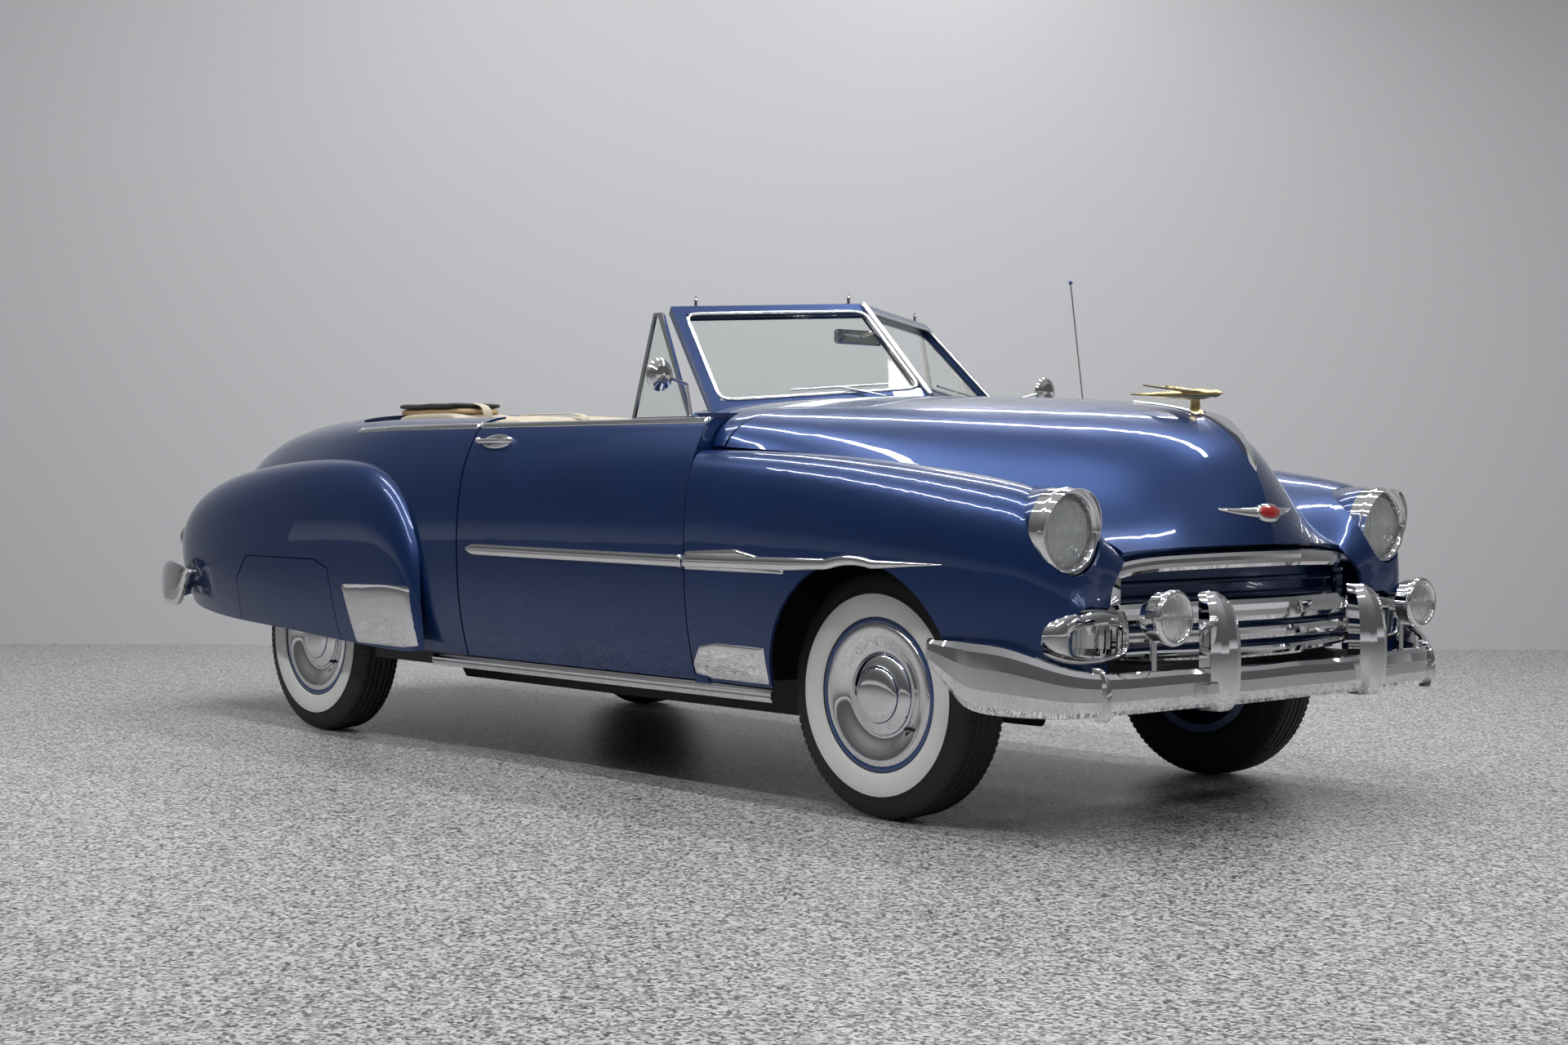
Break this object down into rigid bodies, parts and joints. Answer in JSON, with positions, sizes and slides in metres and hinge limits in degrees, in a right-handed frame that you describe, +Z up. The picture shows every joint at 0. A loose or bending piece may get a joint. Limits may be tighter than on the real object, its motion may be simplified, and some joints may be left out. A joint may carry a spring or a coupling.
{
  "type": "convertible car",
  "caption": "Open two-door car with rounded fenders, split windshield, folded top, doors and lids on hinges, and wheels that roll and steer.",
  "frame": {"origin": "on the ground below the middle of the car's bounding box", "axes": "+X forward, +Y to the car's left, +Z up"},
  "size_m": [5.0244, 1.8999, 1.629],
  "materials": {
    "body_paint": "metallic gloss",
    "chrome": "polished",
    "glass": "clear",
    "lens": "fluted",
    "red_lens": "fluted",
    "gold": "polished",
    "tyre": "matt",
    "wheel_paint": "gloss",
    "frame_black": "satin",
    "iron": "rough",
    "trim_panel": "satin",
    "seat": "satin",
    "top_cloth": "matt",
    "ring": "gloss"
  },
  "bodies": {
    "car_body": {"rear_body": "body_paint", "rear_fenders": "body_paint", "fender_skirts": "body_paint", "front_fenders": "body_paint", "cowl": "body_paint", "door_hinges": "frame_black", "windshield_frame": "body_paint", "windshield_glass": "glass", "rear_axle": "iron", "engine": "iron", "radiator": "frame_black", "fuel_tank": "frame_black", "exhaust": "iron", "suspension": "frame_black", "chassis": "frame_black", "floor_tub": "frame_black", "front_seat": "seat", "rear_seat": "seat", "dashboard": "trim_panel", "steering_column": "frame_black", "folded_top": "top_cloth", "front_bumper": "chrome", "rear_bumper": "chrome", "headlamps": "chrome", "fog_lamps": "chrome", "grille": "chrome", "rear_frame": "frame_black", "lamp_lenses": "lens", "splash_panel": "body_paint", "tail_lamps": "red_lens", "screen_fittings": "chrome"},
    "door_left": {"door_left": "body_paint", "door_trim_left": "chrome", "vent_glass_left": "glass"},
    "door_right": {"door_right": "body_paint", "door_trim_right": "chrome", "vent_glass_right": "glass"},
    "hood": {"hood": "body_paint", "hood_ornament": "gold"},
    "trunk_lid": {"trunk_lid": "body_paint"},
    "knuckle_left": {"knuckle_left": "iron"},
    "knuckle_right": {"knuckle_right": "iron"},
    "front_left_wheel": {"tyre_fl": "tyre", "wheel_fl": "wheel_paint"},
    "front_right_wheel": {"tyre_fr": "tyre", "wheel_fr": "wheel_paint"},
    "rear_left_wheel": {"tyre_rl": "tyre", "wheel_rl": "wheel_paint"},
    "rear_right_wheel": {"tyre_rr": "tyre", "wheel_rr": "wheel_paint"},
    "steering_wheel": {"steering_wheel": "ring"}
  },
  "joints": [
    {"name": "left_door_hinge", "type": "hinge", "parent": "car_body", "child": "door_left", "pos_m": [0.8821, 0.881, 0.72], "axis": [0, 0, -1], "range_deg": [0, 60]},
    {"name": "right_door_hinge", "type": "hinge", "parent": "car_body", "child": "door_right", "pos_m": [0.8821, -0.881, 0.72], "axis": [0, 0, 1], "range_deg": [0, 60]},
    {"name": "hood_hinge", "type": "hinge", "parent": "car_body", "child": "hood", "pos_m": [1.0015, 0, 1.172], "axis": [0, -1, 0], "range_deg": [0, 45]},
    {"name": "trunk_hinge", "type": "hinge", "parent": "car_body", "child": "trunk_lid", "pos_m": [-1.4235, 0, 1.15], "axis": [0, 1, 0], "range_deg": [0, 60]},
    {"name": "left_kingpin", "type": "hinge", "parent": "car_body", "child": "knuckle_left", "pos_m": [1.6515, 0.615, 0.346], "axis": [0, 0, 1], "range_deg": [-30, 30]},
    {"name": "right_kingpin", "type": "hinge", "parent": "car_body", "child": "knuckle_right", "pos_m": [1.6515, -0.615, 0.346], "axis": [0, 0, 1], "range_deg": [-30, 30]},
    {"name": "front_left_axle", "type": "hinge", "parent": "knuckle_left", "child": "front_left_wheel", "pos_m": [1.6515, 0.72, 0.346], "axis": [0, 1, 0], "continuous": true},
    {"name": "front_right_axle", "type": "hinge", "parent": "knuckle_right", "child": "front_right_wheel", "pos_m": [1.6515, -0.72, 0.346], "axis": [0, 1, 0], "continuous": true},
    {"name": "rear_left_axle", "type": "hinge", "parent": "car_body", "child": "rear_left_wheel", "pos_m": [-1.2695, 0.746, 0.346], "axis": [0, 1, 0], "continuous": true},
    {"name": "rear_right_axle", "type": "hinge", "parent": "car_body", "child": "rear_right_wheel", "pos_m": [-1.2695, -0.746, 0.346], "axis": [0, 1, 0], "continuous": true},
    {"name": "steering_wheel_turn", "type": "hinge", "parent": "car_body", "child": "steering_wheel", "pos_m": [0.6585, 0.37, 1.01], "axis": [-0.8192, 0, 0.5736], "range_deg": [-510, 510]}
  ],
  "couplings": [
    {"joint": "right_kingpin", "follows": "left_kingpin", "ratio": 1},
    {"joint": "steering_wheel_turn", "follows": "left_kingpin", "ratio": 17}
  ]
}
